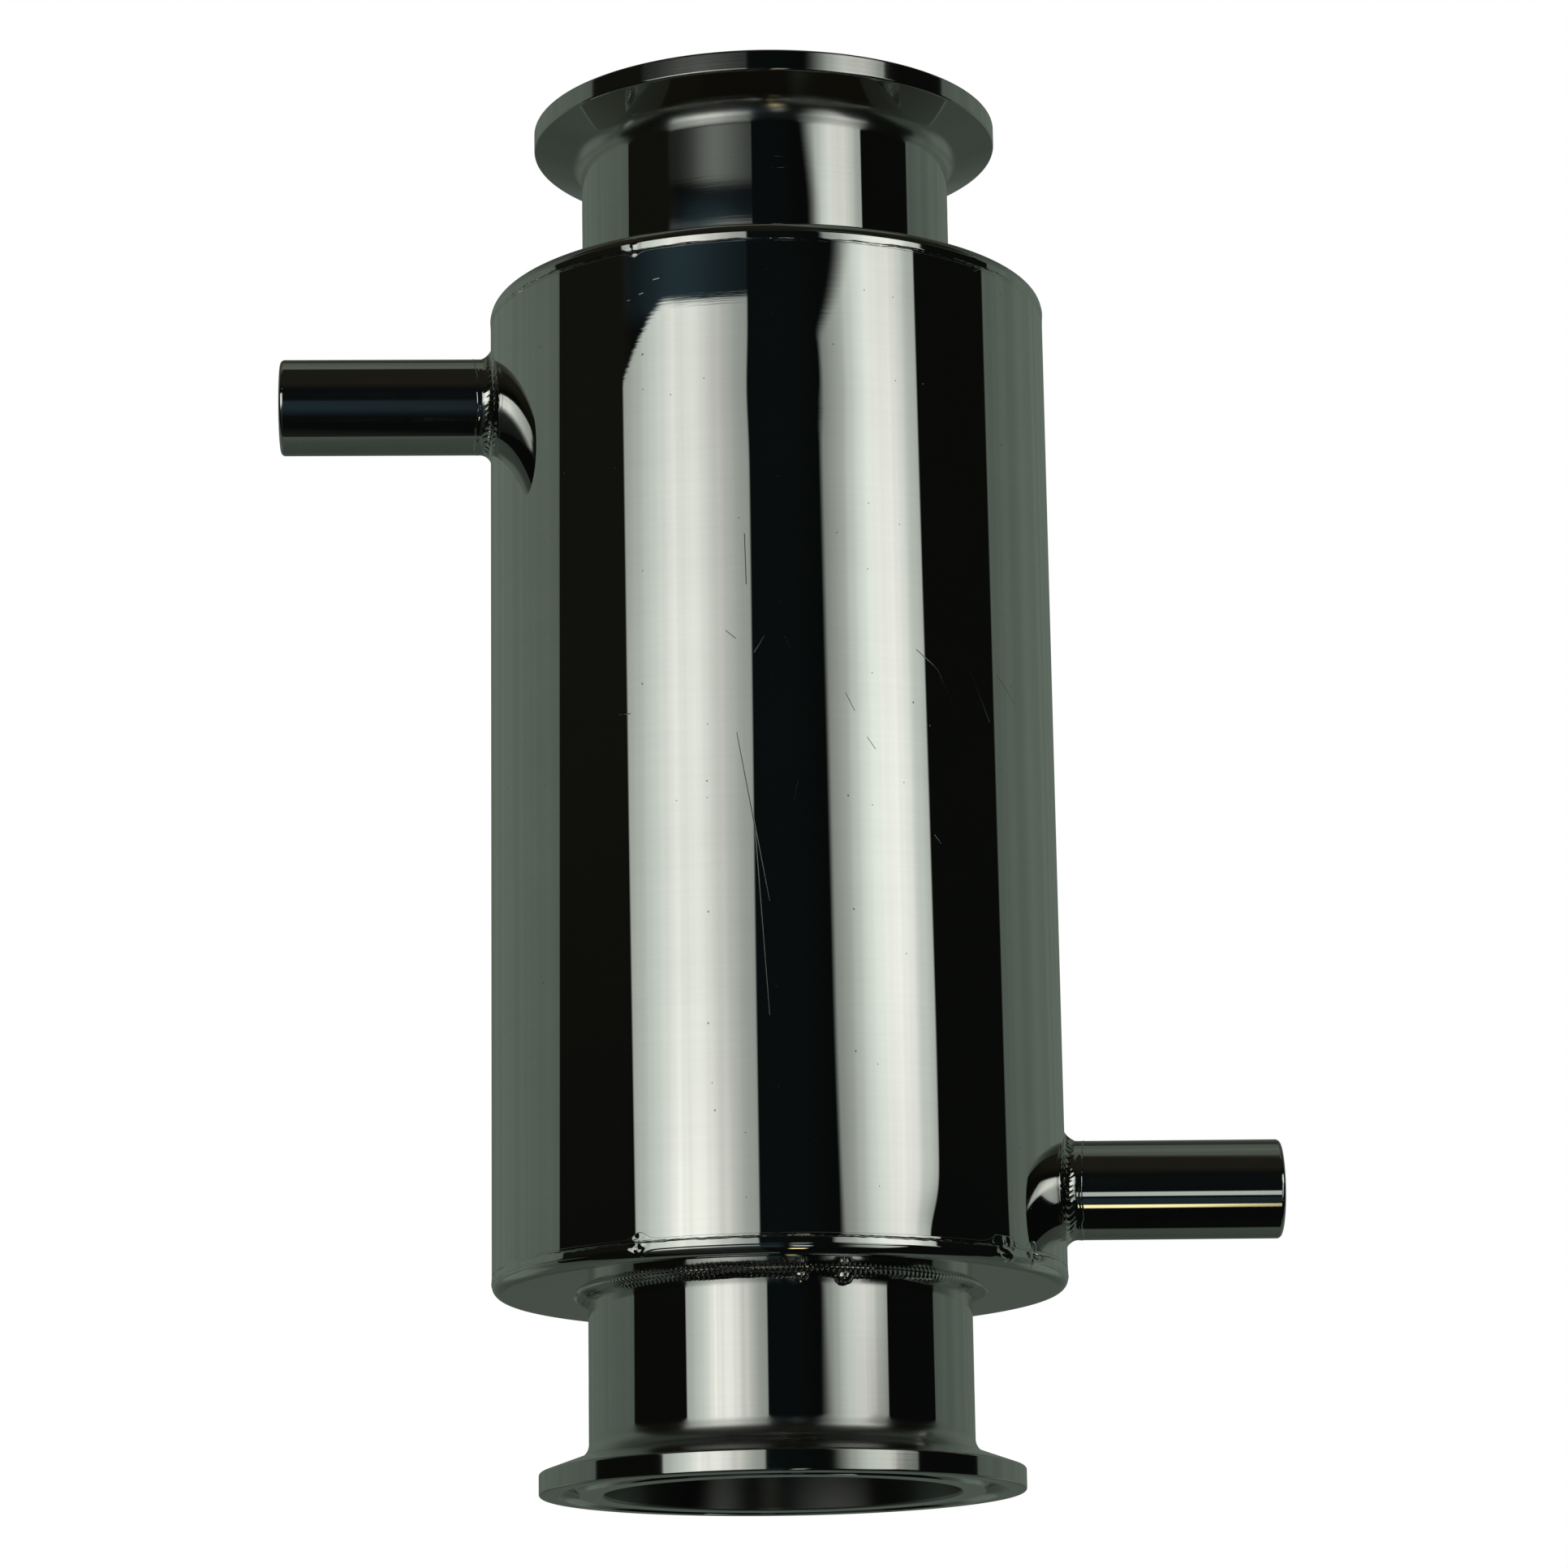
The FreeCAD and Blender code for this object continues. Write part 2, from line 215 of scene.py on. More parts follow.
# ---------------------------------------------------------------- studio
METAL = (0.67, 0.675, 0.665)     # reflectivity of the polished steel
GAIN = 1 / METAL[0]              # studio brightness is stated as the metal shows it
SHADE = (0.0023, 0.0028, 0.0025)
LAMP_TINT = (0.93, 1.0, 0.91)
CREAM_TINT = (1.0, 0.93, 0.87)
WALL_TINT = (0.80, 1.0, 0.83)
GLOW_TINT = (0.42, 0.80, 1.0)
WARM_TINT = (1.0, 0.86, 0.44)
BROWN_TINT = (1.0, 0.86, 0.52)
WHITE = (1.0, 1.0, 1.0, 1.0)

# From here to the backdrop, a step is (start, stop) or (start, stop, level before, level after), a window is
# (low, high, soft low, soft high), a profile is a list of (place, level), and a patch of light is (window
# across, window up, level).

# how the sides of the softboxes and of the room lean: degrees of azimuth per degree of elevation
LEAN = 0.33
ROOM_LEAN = 0.22
LEAN_PIVOT, LEAN_LOW, LEAN_HIGH = 12.0, 5.0, 24.0

# faint upright streaks, as noise (scale, detail) along the azimuth: in all the light, and in its cream share
CLOTH = (0.12, 2.0)
CLOTH_LEVELS = (0.3, 0.7, 0.93, 1.05)
CREAM_CLOTH = (0.19, 1.0)
CREAM = 0.34                     # share of the warmer light in the middle of the softboxes

# the left softbox, whose top drops to the left of LEFT_CORNER
LEFT_OUTER_SIDE = (-60.0, -59.0)
LEFT_INNER_SIDE = (-8.3, -7.3, 1.0, 0.0)
LEFT_TOP = (18.84, 18.76)
LEFT_CORNER, LEFT_CORNER_POWER, LEFT_CORNER_DROP = -42.0, 1.5, 0.0105
LEFT_ACROSS = [(-61, 0.29), (-50, 0.58), (-42, 0.72), (-35, 0.78), (-28, 0.72), (-18, 0.44), (-7, 0.25)]
LEFT_UP = [
    (-60, 0.01), (-20, 0.02), (-14, 0.06), (-9, 0.55), (-4, 1.0), (5, 1.42), (10, 1.14), (19, 0.86),
]
LEFT_CREAM = (-44.0, -16.0, 8.0, 8.0)
LEFT_CREAM_LEVELS = (0.3, 0.6, 0.55, 1.2)
LEFT_EXTRA = 0.05
LEFT_LOW_CREAM = (-6.0, 9.5, 8.0, 5.0)
LEFT_LOW_EXTRA = 0.17

# the right softbox, whose bends and blurs move and soften a side by some degrees of azimuth
RIGHT_INNER_START, RIGHT_INNER_STOP = 21.6, 24.0
RIGHT_INNER_BENDS = [(11.0, 5.0, 0.0, -2.5), (17.9, 19.5, 0.0, -11.0), (19.8, 21.0, 0.0, 5.0)]
RIGHT_INNER_BLURS = [(9.0, 5.0, 0.0, 4.0), (17.5, 19.5, 0.0, 4.0)]
RIGHT_OUTER_SIDE = (66.2, 65.2)
RIGHT_OUTER_BEND = (11.0, 5.0, 0.0, 1.5)
RIGHT_TOP = (25.0, 20.5)
RIGHT_BOTTOM = (41.0, 56.0, -26.0, 5.4)
RIGHT_BOTTOM_EDGE = (-1.0, 1.0)
RIGHT_FADE_DOWN = (9.0, 4.0)
RIGHT_FADE_OUT = (36.0, 62.0)
RIGHT_FADE = -0.55
RIGHT_ACROSS = [(22, 0.16), (32, 0.46), (40, 0.80), (46, 0.94), (55, 0.80), (62, 0.52), (67, 0.38)]
RIGHT_UP = [
    (-60, 0.01), (-34, 0.03), (-26, 0.35), (-12, 0.56), (2, 0.56), (9, 0.92), (14, 1.02), (25, 0.64),
]
RIGHT_CREAM = (43.0, 58.0, 9.0, 8.0)
RIGHT_CREAM_LEVELS = (0.3, 0.6, 0.7, 1.2)
RIGHT_EXTRA = 0.08

# dim reflections above the left softbox
ABOVE_OUTER_SIDE = (-61.0, -57.0)
GLOW_UP = (18.6, 19.9, 0.4, 0.5)
GLOW_ACROSS = [(-61, 0.003), (-50, 0.014), (-38, 0.034), (-28, 0.026), (-16, 0.010), (-6, 0.006)]
STREAK_UP = (19.54, 19.68, 0.08, 0.08)
STREAK_ACROSS = [(-42, 0.02), (-30, 0.12), (-20, 0.20), (-6, 0.10)]
UPPER_UP = (20.12, 20.95, 0.16, 0.4)
UPPER_ACROSS = [(-60, 0.006), (-46, 0.03), (-35, 0.15), (-26, 0.14), (-14, 0.06), (-6, 0.04)]

# the room behind, with its places across counted both ways from ROOM_FRONT
ROOM_FRONT = 3.0
ROOM_EDGE = (99.0, 100.0)
ROOM_LOW_EDGE = (-12.0, -30.0, 0.0, 11.0)
ROOM_ACROSS = [(98, 0.108), (110, 0.112), (125, 0.124), (145, 0.134), (165, 0.106), (180, 0.096)]
ROOM_UP = [
    (-90, 0.55), (-64, 0.50), (-38, 0.42), (-20, 0.44), (-8, 0.50), (4, 0.88), (24, 1.0), (36, 0.4), (50, 0.15),
    (66, 0.15),
]
LOW_RIGHT_ACROSS = (30.0, 60.0)
LOW_RIGHT_DOWN = (-66.0, -72.0)
FLANK = ((118.0, 150.0, 20.0, 16.0), (-30.0, -5.0, 12.0, 8.0), 0.07)
CEILING_GAP = -20.0              # the azimuth of the middle of the gap in the ceiling's light
CEILING_ACROSS = (40.0, 60.0)
CEILING_EDGE = (59.5, 61.5)
CEILING_LEVELS = (72.0, 78.0, 0.055, 0.07)

# dim brown light, small lamps low in front, and haze
LOFT = (24.0, 46.0, 0.0, 0.0085)
WALL_SIDES = (52.0, 62.0)
WALL_LEVELS = (5.0, 16.0, 0.25, 1.0)
WALL_ACROSS = [(-62, 0.0042), (-50, 0.0), (50, 0.0), (62, 0.0010)]
LAMP_WIDTH = (5.0, 12.5, 3.0, 3.0)
BAR = (LAMP_WIDTH, (-22.0, -12.6, 1.0, 1.0), 0.44)
DIM_BAR = (LAMP_WIDTH, (-41.0, -27.0, 3.0, 3.0), 0.020)
WARM_LAMP = (LAMP_WIDTH, (-49.6, -42.2, 2.0, 1.5), 1.20)
HAZE = ((-30.0, 16.0, 20.0, 20.0), (-42.0, 30.0, 24.0, 20.0), 0.0016)
LOW_HAZE = ((-30.0, 1.0, 10.0, 4.0), (-28.0, 0.0, 26.0, 8.0), 0.021)

BACKDROP_LEVELS = (0.0, 4.0, 0.84, 1.0)


class Sky(Tree):
    """The studio's tree, with the azimuth and elevation of a ray and what leans or streaks with them."""

    def __init__(self, world):
        super().__init__(world)
        ray = self.node("TexCoord").outputs["Generated"]
        ahead = self.vector("DOT_PRODUCT", ray, TOWARD_CAMERA)
        aside = self.vector("DOT_PRODUCT", ray, TOWARD_RIGHT)
        self.azimuth = self.math("DEGREES", self.math("ARCTAN2", aside, ahead))
        self.elevation = self.math("DEGREES", self.math("ARCSINE", self.height_of(ray)))
        near_level = self.math("MINIMUM", LEAN_HIGH, self.math("MAXIMUM", LEAN_LOW, self.elevation))
        self.raised = self.math("SUBTRACT", near_level, LEAN_PIVOT)
        self.leaning = self.math("ADD", self.azimuth, self.math("MULTIPLY", self.raised, LEAN))
        self.cloth = self.step(self.noise_texture(*CLOTH, W=self.azimuth), *CLOTH_LEVELS)
        self.cream_cloth = self.noise_texture(*CREAM_CLOTH, W=self.azimuth)

    def away_from(self, azimuth):
        """Degrees from an azimuth, counted both ways."""
        return self.math("ABSOLUTE", self.math("SUBTRACT", self.azimuth, azimuth))

    def patch(self, across, up, level):
        """A soft-edged rectangle of light."""
        return self.product(self.window(self.azimuth, *across), self.window(self.elevation, *up), level)


def left_softbox(t):
    """Its plain light and its cream light. Its top left corner is rounded."""
    past_corner = t.math("MAXIMUM", 0.0, t.math("SUBTRACT", LEFT_CORNER, t.azimuth))
    dropped = t.math("MULTIPLY", t.math("POWER", past_corner, LEFT_CORNER_POWER), LEFT_CORNER_DROP)
    light = t.product(
        t.cloth,
        t.step(t.leaning, *LEFT_OUTER_SIDE),
        t.step(t.azimuth, *LEFT_INNER_SIDE),
        t.step(t.math("ADD", t.elevation, dropped), *LEFT_TOP),
        t.profile(t.azimuth, LEFT_ACROSS),
        t.profile(t.elevation, LEFT_UP),
    )
    share = t.product(t.window(t.azimuth, *LEFT_CREAM), t.step(t.cream_cloth, *LEFT_CREAM_LEVELS))
    low_extra = t.math("MULTIPLY", t.window(t.elevation, *LEFT_LOW_CREAM), LEFT_LOW_EXTRA)
    plain = t.product(light, t.rest_of(t.product(share, CREAM)))
    return plain, t.product(light, share, t.math("ADD", low_extra, CREAM + LEFT_EXTRA))


def right_softbox(t):
    """Its plain light and its cream light.

    Its inner side bends and blurs, and its lower right corner is cut away.
    """
    inner_at = t.total(t.leaning, *(t.step(t.elevation, *bend) for bend in RIGHT_INNER_BENDS))
    outer_at = t.math("ADD", t.leaning, t.step(t.elevation, *RIGHT_OUTER_BEND))
    blur = t.total(*(t.step(t.elevation, *more) for more in RIGHT_INNER_BLURS))
    start, stop = t.math("SUBTRACT", RIGHT_INNER_START, blur), t.math("ADD", RIGHT_INNER_STOP, blur)
    faded = t.product(t.step(t.elevation, *RIGHT_FADE_DOWN), t.step(t.leaning, *RIGHT_FADE_OUT), RIGHT_FADE)
    above_bottom = t.math("SUBTRACT", t.elevation, t.step(t.azimuth, *RIGHT_BOTTOM))
    light = t.product(
        t.cloth,
        t.step(inner_at, start, stop),
        t.math("ADD", 1.0, faded),
        t.step(outer_at, *RIGHT_OUTER_SIDE),
        t.step(t.elevation, *RIGHT_TOP),
        t.step(above_bottom, *RIGHT_BOTTOM_EDGE),
        t.profile(t.leaning, RIGHT_ACROSS),
        t.profile(t.elevation, RIGHT_UP),
    )
    share = t.product(t.window(t.leaning, *RIGHT_CREAM), t.step(t.cream_cloth, *RIGHT_CREAM_LEVELS))
    plain = t.product(light, t.rest_of(t.product(share, CREAM)))
    return plain, t.product(light, share, CREAM + RIGHT_EXTRA)


def above_left(t):
    """The glow, the thin streak and the upper patch over the left softbox."""
    above = t.product(t.step(t.leaning, *ABOVE_OUTER_SIDE), t.step(t.azimuth, *LEFT_INNER_SIDE))
    rows = ((GLOW_UP, GLOW_ACROSS), (STREAK_UP, STREAK_ACROSS), (UPPER_UP, UPPER_ACROSS))
    return [t.product(above, t.window(t.elevation, *up), t.profile(t.azimuth, across)) for up, across in rows]


def room(t):
    """Paler at eye level, darker towards floor and ceiling, dark low down at the right."""
    back = t.away_from(ROOM_FRONT)
    edge = t.total(back, t.math("MULTIPLY", t.raised, ROOM_LEAN), t.step(t.elevation, *ROOM_LOW_EDGE))
    low_right = t.product(t.step(t.azimuth, *LOW_RIGHT_ACROSS), t.step(t.elevation, *LOW_RIGHT_DOWN))
    walls = t.product(
        t.cloth,
        t.step(edge, *ROOM_EDGE),
        t.profile(back, ROOM_ACROSS),
        t.profile(t.elevation, ROOM_UP),
        t.rest_of(low_right),
    )
    across, up, level = FLANK
    flank = t.product(t.window(back, *across), t.window(t.elevation, *up), level)
    past_front = t.step(t.away_from(CEILING_GAP), *CEILING_ACROSS)
    ceiling = t.product(past_front, t.step(t.elevation, *CEILING_EDGE), t.step(t.elevation, *CEILING_LEVELS))
    return t.total(walls, flank, ceiling)


def brown_light(t):
    """From high up, and from beside the softboxes."""
    loft = t.step(t.elevation, *LOFT)
    sides = t.step(t.away_from(0.0), *WALL_SIDES)
    walls = t.product(sides, t.step(t.elevation, *WALL_LEVELS), t.profile(t.azimuth, WALL_ACROSS))
    return t.total(loft, walls)


def add_studio():
    """What the metal mirrors: two tall softboxes in front, a grey-green room behind, darkness between."""
    world = bpy.data.worlds.new("studio")
    scene.world = world
    t = Sky(world)
    left, left_cream = left_softbox(t)
    right, right_cream = right_softbox(t)
    glow, streak, upper = above_left(t)
    lit = t.add_colours(
        SHADE,
        t.scaled(LAMP_TINT, t.total(left, right, streak, upper, t.patch(*BAR))),
        t.scaled(CREAM_TINT, t.total(left_cream, right_cream)),
        t.scaled(GLOW_TINT, t.total(glow, t.patch(*DIM_BAR), t.patch(*HAZE), t.patch(*LOW_HAZE))),
        t.scaled(WALL_TINT, room(t)),
        t.scaled(BROWN_TINT, brown_light(t)),
        t.scaled(WARM_TINT, t.patch(*WARM_LAMP)),
    )
    mirrored = t.node("Background", {"Color": lit, "Strength": GAIN})
    backdrop = t.node("Background", {"Color": WHITE, "Strength": t.step(t.elevation, *BACKDROP_LEVELS)})
    seen = t.node("LightPath").outputs["Is Camera Ray"]
    shown = t.node("MixShader", {0: seen, 1: mirrored.outputs[0], 2: backdrop.outputs[0]})
    t.node("OutputWorld", {"Surface": shown.outputs[0]})
    world.cycles_visibility.diffuse = False


FLOOR_HALF = 6.0
FLOOR_LEVEL = -0.2 * MM
FLOOR_COLOUR = (0.86, 0.86, 0.86, 1.0)
SUN_STRENGTH = 3.35
SUN_ANGLE = 80.0
SUN_TURN = (18.0, -14.0, 0.0)


def add_floor():
    """A pale floor under the lower ferrule. It's clear from below, where the main view looks from."""
    mesh = bpy.data.meshes.new("floor")
    corners = [(x * FLOOR_HALF, y * FLOOR_HALF, FLOOR_LEVEL) for x, y in ((-1, -1), (1, -1), (1, 1), (-1, 1))]
    mesh.from_pydata(corners, [], [(0, 1, 2, 3)])
    floor = bpy.data.objects.new("floor", mesh)
    scene.collection.objects.link(floor)
    material = bpy.data.materials.new("pale_floor")
    t = Tree(material)
    pale = t.node("BsdfDiffuse", {"Color": FLOOR_COLOUR})
    clear = t.node("BsdfTransparent")
    below = t.node("NewGeometry").outputs["Backfacing"]
    surface = t.node("MixShader", {0: below, 1: pale.outputs[0], 2: clear.outputs[0]})
    t.node("OutputMaterial", {"Surface": surface.outputs[0]})
    mesh.materials.append(material)
    floor.visible_glossy = False

    sun = bpy.data.objects.new("soft_light", bpy.data.lights.new("soft_light", "SUN"))
    sun.data.energy = SUN_STRENGTH
    sun.data.angle = math.radians(SUN_ANGLE)
    sun.rotation_euler = [math.radians(angle) for angle in SUN_TURN]
    sun.visible_glossy = False
    scene.collection.objects.link(sun)


# ---------------------------------------------------------------- metal
GRAIN_PITCH = 0.6 * MM           # spacing of the polishing marks
GRAIN_RUN = 22.0 * MM            # how far one mark runs round the part
GRAIN_DETAIL, GRAIN_ROUGHNESS = 4.0, 0.65
WAVE_SCALE = (38.0, 38.0, 8.0)
WAVE_DETAIL = 1.0
SMUDGE_SCALE, SMUDGE_DETAIL = 90.0, 4.0
# how the smudges and the marks change the roughness and the tone, as steps of their noise
SMUDGE_DULLING = (0.35, 0.8)
SMUDGE_SHARPEST, SMUDGE_DULLEST = 0.8, 1.6
SMUDGE_TONE = (0.3, 0.75, 0.965, 1.0)
GRAIN_TONE, GRAIN_DARKEST = (0.3, 0.7), 0.975
ANISOTROPY = 0.9
QUARTER_TURN = 0.25

# the jacket's specks are (spacing in mm, size in mm, share of the places taken), its marks are two ends as
# (azimuth, height in mm), and its dimples are (azimuth, height in mm, radius in mm, depth in mm)
SPECKS = [(9.0, 0.17, 0.16), (4.3, 0.11, 0.10)]
SPECK_CORE, SCRATCH_CORE = 0.5, 0.4
SCRATCH_WIDTH = 0.08
SCRATCHES = [
    ((-6.8, 93.6), (-1.0, 71.5)),
    ((-3.6, 81.0), (-1.3, 56.8)),
    ((29.7, 105.5), (34.5, 103.2)),
    ((34.5, 103.2), (39.5, 97.0)),
    ((43.0, 103.8), (48.3, 97.6)),
    ((-4.8, 120.0), (-4.6, 113.3)),
    ((-1.3, 106.3), (-3.3, 104.2)),
    ((2.6, 106.3), (3.7, 104.8)),
    ((51.0, 104.2), (57.0, 101.2)),
    ((4.9, 87.2), (4.0, 84.5)),
    ((32.9, 81.1), (34.3, 80.1)),
    ((-8.7, 107.2), (-6.8, 106.1)),
    ((-31.0, 97.5), (-28.7, 97.4)),
    ((14.4, 98.9), (16.2, 96.6)),
    ((18.7, 93.2), (20.3, 91.7)),
    ((-22.8, 155.7), (-21.6, 155.8)),
    ((-25.9, 154.0), (-25.1, 154.1)),
    ((-28.6, 153.4), (-28.1, 153.4)),
    ((-32.6, 152.1), (-32.2, 152.1)),
]
WORN_DEPTH = 0.002 * MM
WORN_ROUGHNESS = 0.30
WORN_SHADE = 0.35
DIMPLES = [(5.0, 139.5, 6.0, 0.05), (36.8, 28.8, 4.6, 0.24)]

# zones of the other pieces, by the distance from the axis, or by the millimetres from the nearer end
FLAT_SIDE = (JACKET_R - 1.9 * MM, JACKET_R - 1.2 * MM, 1.0, 0.0)
FLAT_ROUGHNESS = 0.05
TURNED_RIM = (31.4 * MM, 31.6 * MM)
TURNED_ROUGHNESS = 0.08
TURNED_SCALE = (12.0, 12.0, 5200.0)
TURNED_DEPTH = 0.0016 * MM
FILLET_UP = (4.4, 7.6, 0.4, 1.2)
FILLET_IN = (TUBE_R + 3.0 * MM, TUBE_R)
FILLET_ROUGHNESS = 0.24
HEATED = (23.4, 25.4)
HEATED_ROUGHNESS = 0.13
INSIDE = (BORE_R + 0.1 * MM, BORE_R + 0.5 * MM, 1.0, 0.0)
INSIDE_ROUGHNESS = 0.40
# painted shade: the share by which the bore's colour is darkened, standing in for the shade inside the deep
# tube
BORE_PAINTED_SHADE = 0.45


def facing(azimuth):
    """The angle about Z of a place seen at that azimuth, which is in degrees."""
    return math.radians(azimuth - 90.0 - VIEW_TURN)


def unrolled(t, place):
    """The jacket's surface laid flat: millimetres round from the camera's side, and millimetres up."""
    ahead = t.vector("DOT_PRODUCT", place, TOWARD_CAMERA)
    aside = t.vector("DOT_PRODUCT", place, TOWARD_RIGHT)
    around = t.math("MULTIPLY", t.math("ARCTAN2", aside, ahead), JACKET_R / MM)
    up = t.math("MULTIPLY", t.height_of(place), 1 / MM)
    return t.node("CombineXYZ", {"X": around, "Y": up}).outputs[0]


def flat_point(azimuth, height):
    """A place on the unrolled jacket."""
    return Vector((math.radians(azimuth) * JACKET_R / MM, height, 0.0))


def scratch(t, flat, start, end):
    """1 on a line between two places on the unrolled jacket."""
    first, run = flat_point(*start), flat_point(*end) - flat_point(*start)
    offset = t.vector("SUBTRACT", flat, first)
    share = t.math("MULTIPLY", t.vector("DOT_PRODUCT", offset, run), 1 / run.length_squared, clamp=True)
    away = t.vector("DISTANCE", offset, t.scaled(run, share))
    return t.step(away, SCRATCH_WIDTH * SCRATCH_CORE, SCRATCH_WIDTH, 1.0, 0.0)


def dimple(t, flat, azimuth, height, radius, depth):
    """The height of a shallow smooth dimple, in metres."""
    away = t.math("DIVIDE", t.vector("DISTANCE", flat, flat_point(azimuth, height)), radius)
    bell = t.math("EXPONENT", t.product(away, away, -1.0))
    return t.math("MULTIPLY", bell, -depth * MM)


def specks(t, flat, spacing, size, share):
    """Sparse specks: one in some of the cells of an uneven grid."""
    cells = t.node("TexVoronoi", {"Vector": flat, "Scale": 1 / spacing}, voronoi_dimensions="2D")
    chosen = t.math("LESS_THAN", t.node("SeparateColor", {0: cells.outputs["Color"]}).outputs[0], share)
    dot = t.step(cells.outputs["Distance"], size * SPECK_CORE / spacing, size / spacing, 1.0, 0.0)
    return t.math("MULTIPLY", dot, chosen)


def jacket_wear(t, place, height, rough, tone):
    """Scratches, specks and dimples."""
    flat = unrolled(t, place)
    worn = t.total(*(specks(t, flat, *kind) for kind in SPECKS))
    for start, end in SCRATCHES:
        worn = t.math("MAXIMUM", worn, scratch(t, flat, start, end))
    dimples = [dimple(t, flat, *dent) for dent in DIMPLES]
    height = t.total(height, *dimples, t.math("MULTIPLY", worn, -WORN_DEPTH))
    rough = t.math("ADD", rough, t.math("MULTIPLY", worn, WORN_ROUGHNESS), clamp=True)
    return height, rough, t.product(tone, t.rest_of(t.product(worn, WORN_SHADE)))


def from_axis(t, place):
    """The distance from the product tube's axis."""
    return t.vector("LENGTH", t.vector("MULTIPLY", place, (1.0, 1.0, 0.0)))


def ring_wear(t, place, height, rough, tone):
    """A duller flat side."""
    flat_side = t.step(from_axis(t, place), *FLAT_SIDE)
    return height, t.at_least(rough, flat_side, FLAT_ROUGHNESS), tone


def tube_wear(t, place, height, rough, tone):
    """A turned rim, a duller fillet behind it, a duller zone near the neck's weld, a rougher bore and painted
    shade in it.
    """
    out, up = from_axis(t, place), t.height_of(place)
    turned = t.step(out, *TURNED_RIM)
    grooves = t.noise_texture(1.0, Vector=t.vector("MULTIPLY", place, TURNED_SCALE))
    height = t.math("ADD", height, t.product(grooves, turned, TURNED_DEPTH))
    from_end = t.math("MULTIPLY", t.math("MINIMUM", up, t.math("SUBTRACT", LENGTH, up)), 1 / MM)
    filleted = t.product(t.window(from_end, *FILLET_UP), t.step(out, *FILLET_IN))
    inside = t.step(out, *INSIDE)
    rough = t.at_least(rough, filleted, FILLET_ROUGHNESS)
    rough = t.at_least(rough, t.step(from_end, *HEATED), HEATED_ROUGHNESS)
    rough = t.at_least(rough, turned, TURNED_ROUGHNESS)
    rough = t.at_least(rough, inside, INSIDE_ROUGHNESS)
    # painted shade: the bore's colour is darkened
    return height, rough, t.product(tone, t.rest_of(t.product(inside, BORE_PAINTED_SHADE)))


def steel(name, roughness, axis="Z", grain=0.0003, waviness=0.08, shine=1.0, wear=None):
    """Mirror-polished steel with fine marks that run round the axis, slow waves and small stains.

    The heights of the grain and of the waves are in millimetres. wear adds what one kind of piece has besides.
    """
    material = bpy.data.materials.new(name)
    t = Tree(material)
    place = t.node("TexCoord").outputs["Object"]
    fine, slow = 1 / GRAIN_PITCH, 1 / GRAIN_RUN
    grain_scale = (fine, slow, slow) if axis == "X" else (slow, slow, fine)
    grain_at = t.vector("MULTIPLY", place, grain_scale)
    marks = t.noise_texture(1.0, GRAIN_DETAIL, GRAIN_ROUGHNESS, Vector=grain_at)
    wave = t.noise_texture(1.0, WAVE_DETAIL, Vector=t.vector("MULTIPLY", place, WAVE_SCALE))
    height = t.total(t.math("MULTIPLY", marks, grain * MM), t.math("MULTIPLY", wave, waviness * MM))
    smudge = t.noise_texture(SMUDGE_SCALE, SMUDGE_DETAIL, Vector=place)
    rough = t.step(smudge, *SMUDGE_DULLING, roughness * SMUDGE_SHARPEST, roughness * SMUDGE_DULLEST)
    tone = t.product(t.step(smudge, *SMUDGE_TONE), t.step(marks, *GRAIN_TONE, GRAIN_DARKEST * shine, shine))
    if wear:
        height, rough, tone = wear(t, place, height, rough, tone)
    inputs = {
        "Base Color": t.scaled(METAL, tone),
        "Metallic": 1.0,
        "Roughness": rough,
        "Normal": t.node("Bump", {"Height": height, "Strength": 1.0, "Distance": 1.0}).outputs["Normal"],
        "Anisotropic": ANISOTROPY,
        "Anisotropic Rotation": QUARTER_TURN,
        "Tangent": t.node("Tangent", direction_type="RADIAL", axis=axis).outputs["Tangent"],
    }
    shader = t.node("BsdfPrincipled", inputs)
    t.node("OutputMaterial", {"Surface": shader.outputs[0]})
    return material


def dress(node, material):
    """Gives a carried-over CAD node its finish."""
    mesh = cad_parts[node].data
    mesh.materials.clear()
    mesh.materials.append(material)
    for polygon in mesh.polygons:
        polygon.material_index = 0


# ---------------------------------------------------------------- rings of metal
def sweep(name, sections, material, replaced, sharp=None):
    """A closed ring of metal through the closed sections, standing for one CAD node.

    Its edges are smooth, apart from those that turn more than sharp degrees.
    """
    count, size = len(sections), len(sections[0])
    points = [tuple(point) for section in sections for point in section]
    faces = []
    for i in range(count):
        for j in range(size):
            here, there = i * size, (i + 1) % count * size
            k = (j + 1) % size
            faces.append((here + j, here + k, there + k, there + j))
    mesh = bpy.data.meshes.new(name)
    mesh.from_pydata(points, [], faces)
    build = bmesh.new()
    build.from_mesh(mesh)
    bmesh.ops.recalc_face_normals(build, faces=build.faces)
    build.to_mesh(mesh)
    build.free()
    mesh.polygons.foreach_set("use_smooth", [True] * len(mesh.polygons))
    if sharp:
        mesh.set_sharp_from_angle(angle=math.radians(sharp))
    mesh.materials.append(material)
    piece = bpy.data.objects.new(name, mesh)
    scene.collection.objects.link(piece)
    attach(piece, "root")
    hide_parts(replaced)


# ---------------------------------------------------------------- turned pieces
# Outlines are in millimetres, with heights from the nearer ferrule's face.
TURNED_SECTIONS, TURNED_SHARP = 720, 25.0
ROUNDING_STEPS, ROUNDING_MARGIN = 16, 0.03
FERRULE_LENGTH, MOUTH_ROUND = 12.7, 0.4
RIM_RADIUS, RIM_HEIGHT, RIM_ROUND = 32.0, 2.85, 0.3
CONE_TOP, NECK_FILLET = 5.25, 2.2
GROOVE_CIRCLE, GROOVE_HALF_WIDTH, GROOVE_DEPTH, GROOVE_STEPS = 28.15, 1.45, 1.2, 20
RING_OUTER, RING_BEVEL_FROM, RING_INNER = 26.3, 27.8, 28.3
RING_ROUND, RING_BEVEL = 1.4, 0.5


